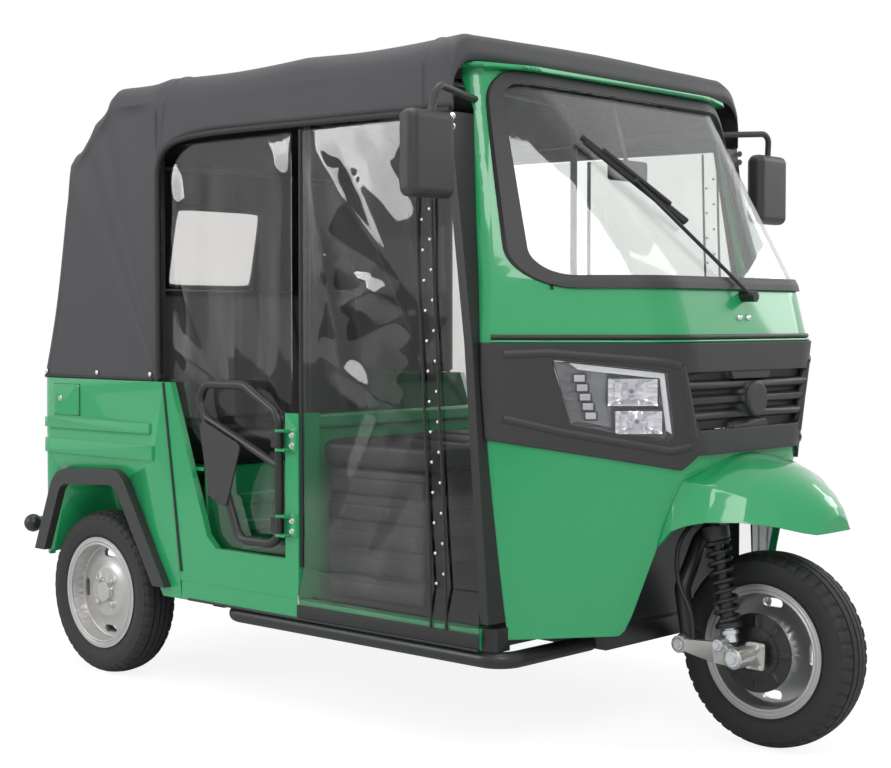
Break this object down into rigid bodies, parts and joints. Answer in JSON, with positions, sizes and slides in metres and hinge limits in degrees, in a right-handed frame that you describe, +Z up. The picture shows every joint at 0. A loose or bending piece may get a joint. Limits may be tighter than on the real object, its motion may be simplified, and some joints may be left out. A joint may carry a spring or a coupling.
{
  "type": "auto rickshaw",
  "caption": "Three-wheeled passenger taxi with a soft hood, clear side curtains, tubular half doors, a single steered front wheel and a rear engine.",
  "frame": {"origin": "on the ground under the middle of the overall box", "axes": "+X forward, +Y to the vehicle's left, +Z up"},
  "size_m": [2.65, 1.672, 1.8221],
  "materials": {
    "green_paint": "gloss",
    "black_frame": "satin",
    "mask_plastic": "satin",
    "hood_vinyl": "matte",
    "seat_vinyl": "satin",
    "clear_vinyl": "clear",
    "screen_glass": "clear",
    "lamp_lens": "clear",
    "lamp_reflector": "bright",
    "tail_lens": "gloss",
    "rubber": "matte",
    "tyre": "matte",
    "wheel_steel": "satin",
    "link_alloy": "cast",
    "engine_metal": "matte"
  },
  "bodies": {
    "body": {"chassis_frame": "black_frame", "floor_pan": "black_frame", "sills": "green_paint", "side_steps": "black_frame", "front_cowl": "green_paint", "front_apron": "green_paint", "front_mudguard": "green_paint", "toe_board": "black_frame", "nose_mask": "mask_plastic", "grille": "mask_plastic", "headlamp_lenses": "lamp_lens", "headlamp_housings": "lamp_reflector", "windscreen_gasket": "rubber", "windscreen_glass": "screen_glass", "wiper": "black_frame", "post_seals": "rubber", "mirrors": "mask_plastic", "inner_mirror": "mask_plastic", "dashboard": "mask_plastic", "entry_panels": "green_paint", "partition": "green_paint", "driver_seat": "seat_vinyl", "rear_side_panels": "green_paint", "wheel_flares": "mask_plastic", "rear_panel": "green_paint", "seat_bulkhead": "green_paint", "passenger_seat": "seat_vinyl", "tail_lamps": "tail_lens", "rear_bumper": "black_frame", "engine_block": "engine_metal", "rear_axle_arms": "black_frame", "hood": "hood_vinyl", "rear_window": "clear_vinyl", "hood_frame": "black_frame", "front_curtains": "clear_vinyl", "rear_curtain_right": "clear_vinyl", "rear_curtain_left": "clear_vinyl"},
    "steering": {"steering_fork": "black_frame", "handlebar": "black_frame", "suspension_link": "link_alloy", "brake_plate": "black_frame", "shock_absorber": "black_frame", "brake_hose": "rubber"},
    "front_wheel": {"front_tyre": "tyre", "front_rim": "wheel_steel"},
    "rear_wheel_right": {"rear_tyre_right": "tyre", "rear_rim_right": "wheel_steel"},
    "rear_wheel_left": {"rear_tyre_left": "tyre", "rear_rim_left": "wheel_steel"},
    "door_right": {"door_frame_right": "black_frame", "door_panel_right": "mask_plastic"},
    "door_left": {"door_frame_left": "black_frame", "door_panel_left": "mask_plastic"},
    "lid": {"engine_door": "green_paint"}
  },
  "joints": [
    {"name": "steer", "type": "hinge", "parent": "body", "child": "steering", "pos_m": [1.045, 0, 0.25], "axis": [-0.309, 0, 0.9511], "range_deg": [-40, 40]},
    {"name": "front_spin", "type": "hinge", "parent": "steering", "child": "front_wheel", "pos_m": [1.075, 0, 0.25], "axis": [0, 1, 0], "continuous": true},
    {"name": "rear_spin_right", "type": "hinge", "parent": "body", "child": "rear_wheel_right", "pos_m": [-0.915, -0.585, 0.25], "axis": [0, 1, 0], "continuous": true},
    {"name": "rear_spin_left", "type": "hinge", "parent": "body", "child": "rear_wheel_left", "pos_m": [-0.915, 0.585, 0.25], "axis": [0, 1, 0], "continuous": true},
    {"name": "door_swing_right", "type": "hinge", "parent": "body", "child": "door_right", "pos_m": [-0.062, -0.662, 0.645], "axis": [0, 0, 1], "range_deg": [0, 85], "deforming": ["rear_curtain_right"]},
    {"name": "door_swing_left", "type": "hinge", "parent": "body", "child": "door_left", "pos_m": [-0.062, 0.662, 0.645], "axis": [0, 0, -1], "range_deg": [0, 85], "deforming": ["rear_curtain_left"]},
    {"name": "lid_lift", "type": "hinge", "parent": "body", "child": "lid", "pos_m": [-1.236, 0, 0.866], "axis": [0, 1, 0], "range_deg": [0, 75]}
  ]
}
